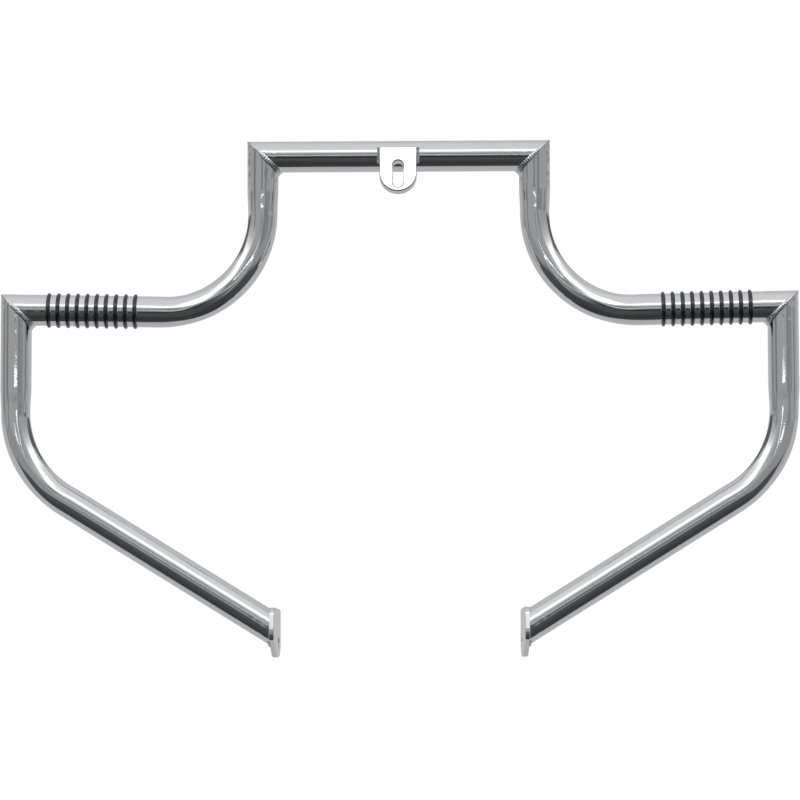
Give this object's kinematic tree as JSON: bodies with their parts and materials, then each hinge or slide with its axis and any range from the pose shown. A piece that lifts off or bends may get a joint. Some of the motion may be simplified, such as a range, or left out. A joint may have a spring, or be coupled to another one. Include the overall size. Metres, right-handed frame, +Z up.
{
  "type": "motorcycle crash bar",
  "caption": "Chromed tubular crash bar for a motorcycle's front, with mitred corners, rubber ringed foot rests, a slotted centre tab and drilled end tabs.",
  "frame": {"origin": "middle of the centre tab's slot, on the tab's back face, where it is clamped to the motorcycle's frame", "axes": "+X to the right seen from in front of the motorcycle, +Y back towards the motorcycle, +Z up; the bar's tubes lie in one upright plane of constant Y"},
  "size_m": [0.8168, 0.0793, 0.5287],
  "materials": {
    "chrome": "mirror chrome plate on polished steel tube",
    "weld_chrome": "chrome plate over dressed weld beads, softly rippled",
    "ring_rubber": "smooth black nitrile rubber, slightly glossy"
  },
  "bodies": {
    "root": {"crossbar": "chrome", "centre_mount_tab": "chrome", "centre_tab_weld": "weld_chrome", "left_shoulder_tube": "chrome", "left_leg_tube": "chrome", "left_end_tab": "chrome", "left_top_corner_weld": "weld_chrome", "left_outer_corner_weld": "weld_chrome", "left_end_tab_weld": "weld_chrome", "right_shoulder_tube": "chrome", "right_leg_tube": "chrome", "right_end_tab": "chrome", "right_top_corner_weld": "weld_chrome", "right_outer_corner_weld": "weld_chrome", "right_end_tab_weld": "weld_chrome", "left_o_ring_01": "ring_rubber", "left_o_ring_02": "ring_rubber", "left_o_ring_03": "ring_rubber", "left_o_ring_04": "ring_rubber", "left_o_ring_05": "ring_rubber", "left_o_ring_06": "ring_rubber", "left_o_ring_07": "ring_rubber", "left_o_ring_08": "ring_rubber", "left_o_ring_09": "ring_rubber", "left_o_ring_10": "ring_rubber", "right_o_ring_01": "ring_rubber", "right_o_ring_02": "ring_rubber", "right_o_ring_03": "ring_rubber", "right_o_ring_04": "ring_rubber", "right_o_ring_05": "ring_rubber", "right_o_ring_06": "ring_rubber", "right_o_ring_07": "ring_rubber", "right_o_ring_08": "ring_rubber", "right_o_ring_09": "ring_rubber", "right_o_ring_10": "ring_rubber"}
  },
  "joints": []
}
